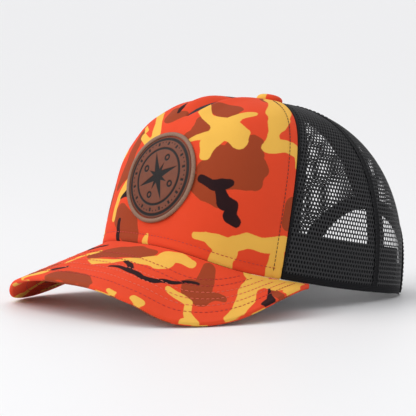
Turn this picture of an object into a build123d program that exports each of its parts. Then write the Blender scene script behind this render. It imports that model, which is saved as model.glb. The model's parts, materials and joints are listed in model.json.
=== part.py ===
from build123d import *
import os
from math import atan, atan2, copysign, cos, degrees, hypot, pi, radians, sin, tan

# A five-panel trucker cap standing on its brim's two drooping sides and on the rear of its crown.
# Millimetres. X is the wearer's left, -Y is the front, Z is up, and the origin is the middle of
# the footprint. The crown is described in its own upright frame and then tipped back by `pitch`.

# --- crown: a superellipse plan that closes in towards the button -----------------------------
crown_half_width = 74.0
crown_front_length = 86.0
crown_rear_length = 112.5
crown_height = 109.5
plan_exponent = 2.9
button_setback = 2.5            # how far behind the widest section the button sits
side_dip = 3.3                  # the base edge dips at the sides, and less at the rear
rear_dip = 1.4
wall_fullness = (2.65, -0.22, -0.42)    # how square the wall is: mean, front/rear, front/side terms
roof_fullness = (3.50, 1.10, 0.55)      # how flat the roof is, the same three terms
wall_lean = (0.13, -0.02)               # how far the wall leans in: mean and front/rear terms

# --- seams between the panels -----------------------------------------------------------------
front_seam_back = 25.5          # the front seam meets the base this far ahead of the widest section
front_seam_drift = 18.5         # and drifts back by this much on its way up to the button
side_seam_azimuth = radians(129)
panel_gap = 0.3
top_hole_radius = 3.0

# --- layers, as depths below the crown's outer skin ---------------------------------------------
skin_thickness = 0.8
layer_gap = 0.2
foam_thickness = 1.8
tape_thickness = 0.5
tape_width = 18.0
hem_height = 10.0
hem_setback = 2.2               # between the hem's end and the rear opening's binding
sweatband_height = 30.0
sweatband_thickness = 1.1
sweatband_setback = 5.5         # from the rear opening's side to the sweatband's end
dart_length = 46.0
dart_tape_width = 11.0

# --- rear opening, its binding and the two snap straps ------------------------------------------
arch_half_width = 45.0
arch_height = 54.0
arch_straight = 12.0
binding_width = 7.5
binding_wall = 0.6
strap_height = 19.0
strap_floor_clearance = 2.2
strap_thickness = 1.3
strap_root_length = 20.0
strap_root_bottom = 3.2
hole_strap_bow = 9.6            # how far each strap bows out behind its two ends
peg_strap_bow = 7.4
snap_pitch = 8.0
snap_count = 7
shared_snaps = 5                # pegs pressed into holes at this setting
snap_end_margin = 5.2           # from the last snap's centre to its strap's free end
peg_radius = 1.9
peg_height = 2.1
hole_clearance = 0.75
running_gap = 0.3

# --- brim --------------------------------------------------------------------------------------
brim_half_width = 105.0
brim_length = 140.5             # from the brim's rear corners to its front edge
brim_exponent = 3.3
brim_corner_azimuth = radians(89)
brim_edge_heights = (-28.5, -34.0, -42.5, -34.6)   # outer edge at 0, 22.5, 45 and 67.5 degrees
brim_cover_thickness = 0.7
brim_board_thickness = 1.6
brim_gap = 0.2
brim_edge_margin = 2.0
brim_crown_gap = 0.3
fold_width = 1.2                # how far the turned edge reaches in between the covers
cover_limit = radians(88.4)     # the azimuths at which the covers, the fold and the board end
fold_limit = radians(87.5)
board_limit = radians(84)

# --- trim --------------------------------------------------------------------------------------
button_radius = 8.5
button_rise = 4.6
button_wall = 0.7
shank_radius = 1.6
shank_length = 4.0
washer_radius = 7.0
washer_thickness = 0.8
patch_radius = 30.5
patch_centre_height = 45.0
patch_side_offset = 7.0         # it is sewn on this far towards the wearer's left
patch_thickness = 1.5
border_width = 3.2
border_thickness = 2.3
label_azimuth = radians(108)
label_width = 24.0
label_height = 16.0
label_thickness = 0.4

# Depths that follow from the layers.
tape_depth = skin_thickness + layer_gap
foam_depth = skin_thickness + layer_gap
tape_back = tape_depth + tape_thickness
foam_back = foam_depth + foam_thickness
root_depth = tape_back + 2 * layer_gap
root_back = root_depth + strap_thickness


def smooth_step(low, high, value):
    """A cubic ramp from 0 at low to 1 at high."""
    t = min(max((value - low) / (high - low), 0.0), 1.0)
    return t * t * (3 - 2 * t)


def harmonic(azimuth):
    """The superellipse's own parameter at a plan azimuth, which the shape terms are cosines of."""
    back_length = crown_front_length if cos(azimuth) >= 0 else crown_rear_length
    stretched = atan2(abs(sin(azimuth)) / crown_half_width, abs(cos(azimuth)) / back_length)
    if stretched >= pi / 2 - 1e-9:
        folded = pi / 2
    else:
        folded = atan(tan(stretched) ** (plan_exponent / 2))
    return folded if cos(azimuth) >= 0 else pi - folded


def base_edge(azimuth):
    """The crown's base edge: a superellipse whose height dips at the sides."""
    back_length = crown_front_length if cos(azimuth) >= 0 else crown_rear_length
    across = abs(sin(azimuth) / crown_half_width) ** plan_exponent
    along = abs(cos(azimuth) / back_length) ** plan_exponent
    radius = (across + along) ** (-1 / plan_exponent)
    turn = harmonic(azimuth)
    dip = side_dip * (cos(2 * turn) - 1) + rear_dip * (cos(3 * turn) + 1)
    return radius * sin(azimuth), -radius * cos(azimuth), dip


def crown_skin(azimuth, climb):
    """The outer skin: base edge shrunk by a superellipse in height, over a centre that slides back."""
    turn = harmonic(azimuth)
    wall = wall_fullness[0] + wall_fullness[1] * cos(turn) + wall_fullness[2] * cos(2 * turn)
    roof = roof_fullness[0] + roof_fullness[1] * cos(turn) + roof_fullness[2] * cos(2 * turn)
    lean = wall_lean[0] + wall_lean[1] * cos(turn)
    rise = sin(climb)
    shrink = (1 - rise**roof) ** (1 / wall) * (1 - lean * rise ** (roof / 2))
    x, y, dip = base_edge(azimuth)
    return Vector(x * shrink, button_setback * rise + y * shrink, dip * (1 - rise) + crown_height * rise)


def crown_point(azimuth, climb, depth):
    """A point at a depth below the skin, measured along the skin's inward normal."""
    step = radians(0.4)
    level = min(max(climb, 3 * step), radians(89) - step)
    along = crown_skin(azimuth + step, level) - crown_skin(azimuth - step, level)
    upward = crown_skin(azimuth, level + step) - crown_skin(azimuth, level - step)
    return crown_skin(azimuth, climb) - along.cross(upward).normalized() * depth


def climb_at_height(height):
    """The climb at which the skin stands at a height above the base edge."""
    return atan2(height / crown_height, (1 - (height / crown_height) ** 2) ** 0.5)


def climb_at_radius(azimuth, radius):
    """The climb at which the roof has closed in to a radius about the button, found by halving."""
    low, high = 0.0, radians(89.5)
    for _ in range(40):
        middle = (low + high) / 2
        point = crown_skin(azimuth, middle)
        if hypot(point.X, point.Y - button_setback * sin(middle)) > radius:
            low = middle
        else:
            high = middle
    return low


def walk(azimuth, climb, distance):
    """The azimuth a signed distance further round at the same climb, found by halving."""
    start = crown_skin(azimuth, climb)
    near, far = 0.0, pi / 2
    for _ in range(36):
        middle = (near + far) / 2
        point = crown_skin(azimuth + copysign(middle, distance), climb)
        if hypot(point.X - start.X, point.Y - start.Y) < abs(distance):
            near = middle
        else:
            far = middle
    return azimuth + copysign(near, distance)


def front_seam(climb):
    """The azimuth of the front seam, which runs nearly straight down from the button."""
    rise = sin(climb)
    low, high = radians(40), radians(100)
    for _ in range(40):
        middle = (low + high) / 2
        point = crown_skin(middle, climb)
        ahead = (front_seam_back - front_seam_drift * rise**2.8) * (1 - rise**100)
        if point.Y < button_setback * rise - ahead:
            low = middle
        else:
            high = middle
    return low


def side_seam(climb):
    """The azimuth of the seam between the side and rear panels."""
    return side_seam_azimuth


def brim_edge(azimuth):
    """The brim's outer edge, a superellipse ahead of its corners, with a drooping height."""
    corner_x, corner_y, corner_z = base_edge(brim_corner_azimuth)
    across = abs(sin(azimuth) / brim_half_width) ** brim_exponent
    along = abs(cos(azimuth) / brim_length) ** brim_exponent
    radius = (across + along) ** (-1 / brim_exponent)
    forward = radius * cos(azimuth)
    narrowing = 1 - (1 - corner_x / brim_half_width) * (1 - forward / brim_length) ** 4
    slope = tan(min(abs(azimuth), radians(89.9))) * brim_length / brim_half_width
    turn = atan(slope ** (brim_exponent / 2))
    return Vector(radius * sin(azimuth) * narrowing, corner_y - forward, droop(turn, corner_z))


def droop(turn, corner_z):
    """The edge height: a smooth curve through the named heights, a quarter of the side apart."""
    heights = brim_edge_heights + (corner_z,)
    interval = pi / 8
    index = min(int(turn / interval), 3)
    t = turn / interval - index
    before = heights[index - 1] if index > 0 else heights[1]
    after = heights[index + 2] if index < 3 else 2 * heights[4] - heights[3]
    slope_a = (heights[index + 1] - before) / 2
    slope_b = (after - heights[index]) / 2
    rise = heights[index + 1] - heights[index]
    return heights[index] + slope_a * t + (3 * rise - 2 * slope_a - slope_b) * t**2 \
        + (slope_a + slope_b - 2 * rise) * t**3


def brim_skin(azimuth, reach):
    """The brim's top: straight lines from the crown's base edge to the brim's outer edge."""
    inner = Vector(*base_edge(azimuth / (pi / 2) * brim_corner_azimuth))
    return inner + (brim_edge(azimuth) - inner) * reach


def brim_point(azimuth, reach, depth):
    """A point at a depth below the brim's top, measured along its downward normal."""
    step = radians(0.5)
    level = min(max(reach, 0.05), 0.95)
    side = min(max(azimuth, radians(-87)), radians(87))
    across = brim_skin(side + step, level) - brim_skin(side - step, level)
    outward = brim_skin(side, level + 0.02) - brim_skin(side, level - 0.02)
    return brim_skin(azimuth, reach) - outward.cross(across).normalized() * depth


# --- how the cap stands: a straight line from under the rear wall touches the drooping brim -------
def azimuth_at_width(half_width):
    """The azimuth at which the rear of the base edge is a given distance from the middle."""
    low, high = radians(100), radians(180)
    for _ in range(40):
        middle = (low + high) / 2
        if base_edge(middle)[0] > half_width:
            low = middle
        else:
            high = middle
    return low


arch_end = azimuth_at_width(arch_half_width)
brim_thickness = 2 * brim_cover_thickness + brim_board_thickness + 2 * brim_gap
rear_x, rear_y, rear_z = base_edge(arch_end)
brim_underside = [brim_point(radians(degree), 1.0, brim_thickness) for degree in range(20, 89)]
pitch = max(atan2(rear_z - low.Z, rear_y - low.Y) for low in brim_underside)


def tip(point):
    """Tip a point of the crown's own frame back by the pitch, about the rear contact line."""
    y, z = point.Y - rear_y, point.Z - rear_z
    return Vector(point.X, y * cos(pitch) + z * sin(pitch), z * cos(pitch) - y * sin(pitch))


front_reach = tip(brim_skin(0.0, 1.0)).Y
arch_crest = climb_at_height(arch_height - binding_wall - layer_gap)
rear_reach = tip(crown_point(pi, arch_crest, -layer_gap - binding_wall)).Y
middle_y = (front_reach + rear_reach) / 2


def place(point):
    """Bring a point of the crown's own frame into the part's frame."""
    tipped = tip(point)
    return Vector(tipped.X, tipped.Y - middle_y, tipped.Z)


def crown_plane(point, x_dir=(1, 0, 0), z_dir=(0, 0, 1)):
    """A sketch plane given in the crown's own frame."""
    origin = place(point)
    return Plane(origin, x_dir=place(point + Vector(*x_dir)) - origin, z_dir=place(point + Vector(*z_dir)) - origin)


# --- solids between two depths of a surface ------------------------------------------------------
def patch(surface, depth, columns, rows):
    """A smooth face through a grid of surface points at one depth."""
    grid = [
        [place(surface(i / (columns - 1), j / (rows - 1), depth)) for j in range(rows)] for i in range(columns)
    ]
    return Face.make_surface_from_array_of_points(grid, tol=0.005)


def layer(surface, front_depth, back_depth, columns=21, rows=13):
    """A closed solid between two depths of one surface, walled by ruled faces along its edges."""
    front = patch(surface, front_depth, columns, rows)
    back = patch(surface, back_depth, columns, rows)
    faces = [front, back]
    for edge in front.edges():
        centre = edge.position_at(0.5)
        partner = min(back.edges(), key=lambda other: (other.position_at(0.5) - centre).length)
        faces.append(Face.make_surface_from_curves(edge, partner))
    return Solid(Shell(faces))


def crown_panel(start, end, bottom, top):
    """The crown surface between two seams, given as azimuths of climb, and two climbs."""

    def surface(u, v, depth):
        climb = bottom + (top - bottom) * v
        low, high = start(climb), end(climb)
        return crown_point(low + (high - low) * u, climb, depth)

    return surface


def beside(seam, distance):
    """A line that keeps a signed distance from a seam."""
    return lambda climb: walk(seam(climb), climb, distance)


def mirrored(seam):
    """The same seam on the wearer's right."""
    return lambda climb: -seam(climb)


def rear_seam(climb):
    """The centre line of the rear."""
    return pi


def centre_front(climb):
    """The centre line of the front."""
    return 0.0


def sides():
    """The two sides of the cap: a name, and the sign of X."""
    return (("left", 1), ("right", -1))


def sided(seam, sign):
    """A seam as it stands on one side."""
    return seam if sign > 0 else mirrored(seam)


def finish(part, name):
    """Label a finished piece and write it."""
    part.part.label = name
    export_step(part.part, f"parts/{name}.step")


os.makedirs("parts", exist_ok=True)
panel_top = climb_at_radius(0, top_hole_radius)
half_gap = panel_gap / 2

# --- front panel and its foam -------------------------------------------------------------------
front_surface = crown_panel(
    beside(mirrored(front_seam), half_gap), beside(front_seam, -half_gap), 0.0, panel_top
)
with BuildPart() as front_panel:
    add(layer(front_surface, 0, skin_thickness, columns=41, rows=21))
finish(front_panel, "front_panel")

foam_inset = tape_width / 2 + layer_gap
foam_surface = crown_panel(
    beside(mirrored(front_seam), foam_inset),
    beside(front_seam, -foam_inset),
    climb_at_height(1.0),
    climb_at_radius(pi / 2, 26.0),
)
with BuildPart() as front_foam:
    add(layer(foam_surface, foam_depth, foam_back, columns=31))
finish(front_foam, "front_foam")

# --- side and rear mesh panels --------------------------------------------------------------------
arch_depth = 3 * strap_thickness + 30.0


def arch_outline(grow):
    """Sketch the rear opening grown by a margin: a straight-sided arch, seen along the crown."""
    half_width = arch_half_width + grow
    foot = crown_plane(Vector(0, crown_rear_length - arch_depth, 0), (1, 0, 0), (0, 1, 0))
    with BuildSketch(foot) as outline:
        with Locations((0, -arch_straight)):
            Ellipse(half_width, arch_height - arch_straight + grow)
            Rectangle(2 * half_width, arch_straight + 30.0, align=(Align.CENTER, Align.MIN))
    return outline.sketch


for name, sign in sides():
    start = sided(beside(front_seam, half_gap), sign)
    end = sided(beside(side_seam, -half_gap), sign)
    with BuildPart() as side_mesh:
        add(layer(crown_panel(start, end, 0.0, panel_top), 0, skin_thickness))
    finish(side_mesh, f"side_mesh_{name}")

    start = sided(beside(side_seam, half_gap), sign)
    end = sided(beside(rear_seam, -half_gap), sign)
    with BuildPart() as rear_mesh:
        add(layer(crown_panel(start, end, 0.0, panel_top), 0, skin_thickness))
        extrude(arch_outline(0), amount=2 * arch_depth, mode=Mode.SUBTRACT)
    finish(rear_mesh, f"rear_mesh_{name}")

# --- seam tapes, inside the panels -----------------------------------------------------------------
tape_bottom = climb_at_height(hem_height + 2 * layer_gap)


def seam_tape(seam, bottom, top, width=tape_width, depth=tape_depth):
    """A tape laid centrally along a seam."""
    surface = crown_panel(beside(seam, -width / 2), beside(seam, width / 2), bottom, top)
    return layer(surface, depth, depth + tape_thickness, columns=7, rows=15)


for name, sign in sides():
    with BuildPart() as front_tape:
        add(seam_tape(sided(front_seam, sign), tape_bottom, climb_at_radius(pi / 2, 20.0)))
    finish(front_tape, f"front_seam_tape_{name}")
    with BuildPart() as side_tape:
        add(seam_tape(sided(side_seam, sign), tape_bottom, climb_at_radius(pi / 2, 34.0)))
    finish(side_tape, f"side_seam_tape_{name}")

with BuildPart() as rear_tape:
    above_arch = climb_at_height(arch_height + binding_width + 4 * layer_gap)
    add(seam_tape(rear_seam, above_arch, climb_at_radius(pi / 2, 16.0)))
finish(rear_tape, "rear_seam_tape")

dart_bottom = climb_at_radius(0, washer_radius + dart_length)
with BuildPart() as dart_tape:
    add(seam_tape(centre_front, dart_bottom, climb_at_radius(0, 12.0), dart_tape_width, foam_back + layer_gap))
finish(dart_tape, "dart_tape")


# --- hems along the mesh's base edge ----------------------------------------------------------------
def hem_stop(climb):
    """The azimuth at which the hem stops, clear of the rear opening's binding."""
    return azimuth_at_width(arch_half_width + binding_width + hem_setback)


for name, sign in sides():
    start = sided(beside(front_seam, 2 * half_gap), sign)
    end = sided(hem_stop, sign)
    surface = crown_panel(start, end, climb_at_height(0.3), climb_at_height(hem_height))
    with BuildPart() as hem:
        add(layer(surface, tape_depth, tape_depth + tape_thickness, columns=21, rows=4))
    finish(hem, f"mesh_hem_{name}")

# --- binding folded over the rear opening's edge ------------------------------------------------------
binding_front = -layer_gap - binding_wall
binding_back = tape_depth + binding_wall
binding_span = arch_half_width + binding_width + 12.0


def rear_region(u, v, depth):
    """The rear wall well past the binding on every side."""
    climb = climb_at_height(0.3) + (climb_at_height(arch_height + 20.0) - climb_at_height(0.3)) * v
    half = walk(pi, climb, -binding_span)
    return crown_point(half + (2 * pi - 2 * half) * u, climb, depth)


with BuildPart() as binding_slot:
    add(layer(rear_region, -layer_gap, tape_depth, columns=31, rows=17))
    extrude(arch_outline(-layer_gap), amount=2 * arch_depth, mode=Mode.SUBTRACT)
with BuildPart() as arch_binding:
    add(layer(rear_region, binding_front, binding_back, columns=31, rows=17))
    extrude(arch_outline(binding_width), amount=2 * arch_depth, mode=Mode.INTERSECT)
    extrude(arch_outline(-binding_wall - layer_gap), amount=2 * arch_depth, mode=Mode.SUBTRACT)
    add(binding_slot.part, mode=Mode.SUBTRACT)
finish(arch_binding, "arch_binding")


# --- sweatband, inside everything else ------------------------------------------------------------------
def sweatband_depth(azimuth):
    """How deep the sweatband's face lies: behind the foam, the tapes or the strap roots."""
    side = abs(azimuth)
    over_foam = (foam_back - tape_back) * (1 - smooth_step(radians(72), radians(86), side))
    over_roots = (root_back - tape_back) * smooth_step(radians(112), radians(132), side)
    return tape_back + layer_gap + over_foam + over_roots


sweatband_end = walk(arch_end, 0.0, -sweatband_setback)


def sweatband_surface(u, v, depth):
    """A band of even height that runs from one side of the rear opening round to the other."""
    azimuth = -sweatband_end + 2 * sweatband_end * u
    climb = climb_at_height(1.0) + (climb_at_height(sweatband_height) - climb_at_height(1.0)) * v
    return crown_point(azimuth, climb, depth + sweatband_depth(azimuth))


with BuildPart() as sweatband:
    add(layer(sweatband_surface, 0, sweatband_thickness, columns=81, rows=6))
finish(sweatband, "sweatband")


def label_surface(u, v, depth):
    """A small blank care label on the sweatband's inner face."""
    azimuth = walk(label_azimuth, 0.0, label_width * (u - 0.5) + 0.01)
    climb = climb_at_height(6.0 + label_height * v)
    return crown_point(azimuth, climb, depth + sweatband_depth(azimuth) + sweatband_thickness)


with BuildPart() as care_label:
    add(layer(label_surface, layer_gap, layer_gap + label_thickness, columns=7, rows=5))
finish(care_label, "care_label")

# --- snap straps: sewn roots in the cap, and free tongues that swing on them -------------------------------
root_middle = (root_depth + root_back) / 2
hinge_point = place(crown_point(arch_end, climb_at_height(strap_root_bottom), root_middle))
hinge_x = hinge_point.X - strap_thickness / 2
hinge_y = hinge_point.Y
root_start = walk(arch_end, 0.0, -running_gap - strap_thickness / 2)
strap_bottom = Plane.XY.offset(strap_floor_clearance)

for name, sign in (("hole_strap_root", 1), ("peg_strap_root", -1)):
    start = sided(beside(lambda climb: root_start, -strap_root_length), sign)
    end = sided(lambda climb: root_start, sign)
    bottom = climb_at_height(strap_root_bottom)
    top = climb_at_height(strap_root_bottom + strap_height - 2.0)
    with BuildPart() as root:
        add(layer(crown_panel(start, end, bottom, top), root_depth, root_back, columns=9, rows=6))
    finish(root, name)


def bow_radius(bow):
    """The plan radius of a strap that bows out by a given amount between the two hinges."""
    return (hinge_x**2 + bow**2) / (2 * bow)


def strap_band(bow, sign):
    """The plan of a strap: a rounded hinge end, an even arc and a rounded free end past the middle."""
    radius = bow_radius(bow)
    centre_y = hinge_y + bow - radius
    free = degrees(strap_reach / radius)
    fixed = degrees(atan2(hinge_x, radius - bow))
    start = 90 - fixed if sign > 0 else 90 - free
    with BuildSketch(strap_bottom) as band:
        with BuildLine():
            inner = CenterArc((0, centre_y), radius - strap_thickness / 2, start, fixed + free)
            outer = CenterArc((0, centre_y), radius + strap_thickness / 2, start, fixed + free)
            Line(inner @ 0, outer @ 0)
            Line(inner @ 1, outer @ 1)
        make_face()
        with Locations((sign * hinge_x, hinge_y)):
            Circle(strap_thickness / 2)
    return band.sketch


def snap_plane(bow, along):
    """A plane on a strap's centre line that faces out, at a distance along from the middle."""
    radius = bow_radius(bow)
    angle = along / radius
    outward = Vector(sin(angle), cos(angle), 0)
    centre = Vector(0, hinge_y + bow - radius, strap_floor_clearance + strap_height / 2)
    return Plane(centre + outward * radius, x_dir=(cos(angle), -sin(angle), 0), z_dir=outward)


snap_start = -(shared_snaps - 1) / 2 * snap_pitch
strap_reach = snap_end_margin - snap_start

with BuildPart() as hole_strap:
    extrude(strap_band(hole_strap_bow, 1), amount=strap_height)
    for index in range(snap_count):
        with BuildSketch(snap_plane(hole_strap_bow, snap_start + index * snap_pitch)):
            Circle(peg_radius + hole_clearance)
        extrude(amount=3 * strap_thickness, both=True, mode=Mode.SUBTRACT)
finish(hole_strap, "hole_strap")

with BuildPart() as peg_strap:
    extrude(strap_band(peg_strap_bow, -1), amount=strap_height)
    for index in range(snap_count):
        with BuildSketch(snap_plane(peg_strap_bow, -snap_start - index * snap_pitch)):
            Circle(peg_radius)
        extrude(amount=strap_thickness / 2 + peg_height)
finish(peg_strap, "peg_strap")


# --- brim ------------------------------------------------------------------------------------------------
def brim_surface(limit, margin):
    """The brim's surface from just ahead of the crown to a margin inside its edge."""

    def surface(u, v, depth):
        azimuth = limit * (2 * u - 1)
        length = (brim_skin(azimuth, 1.0) - brim_skin(azimuth, 0.0)).length
        start = brim_crown_gap / length
        end = 1.0 - margin / length
        return brim_point(azimuth, start + (end - start) * v, depth)

    return surface


cover_surface = brim_surface(cover_limit, 0.0)
board_surface = brim_surface(board_limit, brim_edge_margin)
board_front = brim_cover_thickness + brim_gap
board_back = board_front + brim_board_thickness
with BuildPart() as brim_cover_top:
    add(layer(cover_surface, 0, brim_cover_thickness, columns=61, rows=9))
finish(brim_cover_top, "brim_cover_top")
with BuildPart() as brim_board:
    add(layer(board_surface, board_front, board_back, columns=61, rows=9))
finish(brim_board, "brim_board")
with BuildPart() as brim_cover_under:
    add(layer(cover_surface, board_back + brim_gap, brim_thickness, columns=61, rows=9))
finish(brim_cover_under, "brim_cover_under")


def brim_fold(u, v, depth):
    """The turned edge that closes the brim between its two covers."""
    azimuth = fold_limit * (2 * u - 1)
    length = (brim_skin(azimuth, 1.0) - brim_skin(azimuth, 0.0)).length
    return brim_point(azimuth, 1.0 - (brim_gap + fold_width * (1 - v)) / length, depth)


with BuildPart() as brim_edge_fold:
    add(layer(brim_fold, board_front, board_back, columns=61, rows=4))
finish(brim_edge_fold, "brim_edge_fold")

# --- button, its shank and washer -------------------------------------------------------------------------
button_seat = Vector(0, button_setback, crown_height + layer_gap)


def dome_line(radius, rise):
    """Half of the button's dome, from its rim up to its crest."""
    return Spline((radius, 0), (0.83 * radius, 0.6 * rise), (0, rise), tangents=((0, 1), (-1, 0)))


with BuildPart() as dome:
    with BuildSketch(Plane.XZ):
        with BuildLine():
            outside = dome_line(button_radius, button_rise)
            inside = dome_line(button_radius - button_wall, button_rise - button_wall)
            Line(outside @ 0, inside @ 0)
            Line(outside @ 1, inside @ 1)
        make_face()
    revolve(axis=Axis.Z)
with BuildPart() as button_shell:
    add(dome.part.moved(crown_plane(button_seat).location))
finish(button_shell, "button_shell")

shank_top = button_rise - button_wall - layer_gap
with BuildPart() as button_shank:
    with BuildSketch(crown_plane(button_seat + Vector(0, 0, shank_top))):
        Circle(shank_radius)
    extrude(amount=-shank_top - shank_length)
finish(button_shank, "button_shank")

washer_top = -layer_gap - skin_thickness - 2 * layer_gap
with BuildPart() as button_washer:
    with BuildSketch(crown_plane(button_seat + Vector(0, 0, washer_top))):
        Circle(washer_radius)
        Circle(shank_radius + 0.15, mode=Mode.SUBTRACT)
    extrude(amount=-washer_thickness)
finish(button_washer, "button_washer")

# --- round badge on the front panel ---------------------------------------------------------------------------
badge_climb = climb_at_height(patch_centre_height)
badge_azimuth = walk(0.0, badge_climb, patch_side_offset)
badge_centre = crown_skin(badge_azimuth, badge_climb)
badge_normal = crown_point(badge_azimuth, badge_climb, -1) - badge_centre
badge_plane = crown_plane(badge_centre, (1, 0, 0), tuple(badge_normal))


def badge_surface(u, v, depth):
    """A square of the front panel, a little larger than the badge."""
    climb = climb_at_height(patch_centre_height + (patch_radius + 4.0) * (2 * v - 1))
    azimuth = walk(badge_azimuth, climb, (patch_radius + 4.0) * (2 * u - 1) + 0.001)
    return crown_point(azimuth, climb, depth)


with BuildPart() as patch_leather:
    add(layer(badge_surface, -layer_gap - patch_thickness, -layer_gap))
    with BuildSketch(badge_plane):
        Circle(patch_radius - border_width - layer_gap)
    extrude(amount=25, both=True, mode=Mode.INTERSECT)
finish(patch_leather, "patch_leather")
with BuildPart() as patch_border:
    add(layer(badge_surface, -layer_gap - border_thickness, -layer_gap))
    with BuildSketch(badge_plane):
        Circle(patch_radius)
        Circle(patch_radius - border_width, mode=Mode.SUBTRACT)
    extrude(amount=25, both=True, mode=Mode.INTERSECT)
finish(patch_border, "patch_border")

# --- what the record states ----------------------------------------------------------------------------------
opening = place(Vector(0, 0, 0))
print(f"pitch {degrees(pitch):.2f} deg")
print(f"hinges x +-{hinge_x:.3f} y {hinge_y:.3f} mid z {strap_floor_clearance + strap_height / 2:.2f}")
print(f"head opening {opening.X:.2f} {opening.Y:.2f} {opening.Z:.2f}")
print(f"arch end azimuth {degrees(arch_end):.2f}, front {front_reach:.1f} rear {rear_reach:.1f}")
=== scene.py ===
# %% [markdown]
# # A trucker mesh cap
#
# The cap has a foam-backed printed front, four panels of open net, a curved brim and a snap strap.
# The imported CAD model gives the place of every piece. This lesson gives each piece its cloth:
# a numpy array of surface points, a mesh between two such arrays, and a material made of nodes.

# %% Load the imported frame
import json
from math import atan2, cos, pi, radians, sin

import bpy
import numpy as np
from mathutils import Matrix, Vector


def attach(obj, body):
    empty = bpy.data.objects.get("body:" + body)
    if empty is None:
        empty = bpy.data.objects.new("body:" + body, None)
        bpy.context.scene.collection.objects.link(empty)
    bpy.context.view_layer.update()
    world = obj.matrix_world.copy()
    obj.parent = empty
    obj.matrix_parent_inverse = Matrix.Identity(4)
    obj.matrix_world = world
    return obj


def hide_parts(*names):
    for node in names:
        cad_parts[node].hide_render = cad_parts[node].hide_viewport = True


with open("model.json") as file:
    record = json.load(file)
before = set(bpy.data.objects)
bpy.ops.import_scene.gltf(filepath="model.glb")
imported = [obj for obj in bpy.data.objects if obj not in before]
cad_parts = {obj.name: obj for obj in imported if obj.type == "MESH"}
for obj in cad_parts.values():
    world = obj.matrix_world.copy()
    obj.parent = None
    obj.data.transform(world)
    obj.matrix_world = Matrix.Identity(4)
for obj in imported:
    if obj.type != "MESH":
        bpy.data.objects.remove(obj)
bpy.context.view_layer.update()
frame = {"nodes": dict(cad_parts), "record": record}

# %% [markdown]
# ## The crown as a formula
#
# A sewn crown can be modelled by hand, but four panels, tapes, hems and a sweatband must all follow
# one form. So the crown is one function of two angles: the azimuth round the head, from the
# middle of the front, and the climb from the base edge to the button. Lengths are in millimetres
# in the crown's own upright frame, and `place` tips them into the part's frame, in metres.

# %% The crown's curves
HALF_WIDTH, FRONT, REAR, HEIGHT, SQUARENESS = 74.0, 86.0, 112.5, 109.5, 2.9
BUTTON_BACK, SEAM_BACK, SEAM_DRIFT, SIDE_SEAM = 2.5, 25.5, 18.5, radians(129)
ARCH_HALF_WIDTH, ARCH_HEIGHT, ARCH_STRAIGHT = 45.0, 54.0, 12.0
opening = next(mount for mount in frame["record"]["mounts"] if mount["name"] == "head_opening")
tilt = atan2(-opening["axis"][1], -opening["axis"][2])
print("the crown is tipped back by", round(tilt * 180 / pi, 2), "degrees")


def place(points):
    """Tip crown points about X by the tilt and move them to the head opening, in metres."""
    x, y, z = np.moveaxis(np.asarray(points, float), -1, 0)
    tipped = np.stack([x, y * cos(tilt) + z * sin(tilt), z * cos(tilt) - y * sin(tilt)], -1)
    return tipped * 0.001 + np.array(opening["pos_m"])


def turn_of(azimuth):
    """The angle whose cosines shape the crown: the superellipse's own parameter at an azimuth."""
    length = np.where(np.cos(azimuth) >= 0, FRONT, REAR)
    stretched = np.arctan2(np.abs(np.sin(azimuth)) / HALF_WIDTH, np.abs(np.cos(azimuth)) / length)
    folded = np.arctan(np.tan(np.minimum(stretched, pi / 2 - 1e-9)) ** (SQUARENESS / 2))
    return np.where(np.cos(azimuth) >= 0, folded, pi - folded)


def base_edge(azimuth):
    """A superellipse, |x/a|^n + |y/b|^n = 1, with an edge that dips at the sides."""
    azimuth = np.asarray(azimuth, float)
    length = np.where(np.cos(azimuth) >= 0, FRONT, REAR)
    across = np.abs(np.sin(azimuth) / HALF_WIDTH) ** SQUARENESS
    radius = (across + np.abs(np.cos(azimuth) / length) ** SQUARENESS) ** (-1 / SQUARENESS)
    turn = turn_of(azimuth)
    dip = 3.3 * (np.cos(2 * turn) - 1) + 1.4 * (np.cos(3 * turn) + 1)
    return np.stack([radius * np.sin(azimuth), -radius * np.cos(azimuth), dip], -1)


def skin(azimuth, climb):
    """The base edge shrunk by (1 - h^q)^(1/p) as the height h rises, over a centre that slides back."""
    azimuth, climb = np.broadcast_arrays(np.asarray(azimuth, float), np.asarray(climb, float))
    turn = turn_of(azimuth)
    wall = 2.65 - 0.22 * np.cos(turn) - 0.42 * np.cos(2 * turn)
    roof = 3.50 + 1.10 * np.cos(turn) + 0.55 * np.cos(2 * turn)
    lean = 0.13 - 0.02 * np.cos(turn)
    rise = np.sin(climb)
    shrink = (1 - rise**roof) ** (1 / wall) * (1 - lean * rise ** (roof / 2))
    x, y, dip = np.moveaxis(base_edge(azimuth), -1, 0)
    return np.stack([x * shrink, BUTTON_BACK * rise + y * shrink, dip * (1 - rise) + HEIGHT * rise], -1)


def unit(vectors):
    """Vectors divided by their own lengths."""
    return vectors / np.linalg.norm(vectors, axis=-1, keepdims=True)


def crown(azimuth, climb, depth=0.0):
    """A skin point moved inwards by a depth, along the cross product of the skin's two slopes."""
    azimuth, climb, depth = np.broadcast_arrays(
        np.asarray(azimuth, float), np.asarray(climb, float), np.asarray(depth, float))
    step = radians(0.4)
    level = np.clip(climb, 3 * step, radians(89) - step)
    along = skin(azimuth + step, level) - skin(azimuth - step, level)
    upward = skin(azimuth, level + step) - skin(azimuth, level - step)
    return skin(azimuth, climb) - unit(np.cross(along, upward)) * depth[..., None]


def climb_at(height):
    """The climb at which the crown stands at a height: its sine is the height's share."""
    return np.arcsin(np.asarray(height, float) / HEIGHT)


def halved(low, high, holds, rounds=40):
    """The last value from low towards high at which a test still holds, by halving the gap."""
    for _ in range(rounds):
        middle = (low + high) / 2
        still = holds(middle)
        low, high = np.where(still, middle, low), np.where(still, high, middle)
    return low


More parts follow.
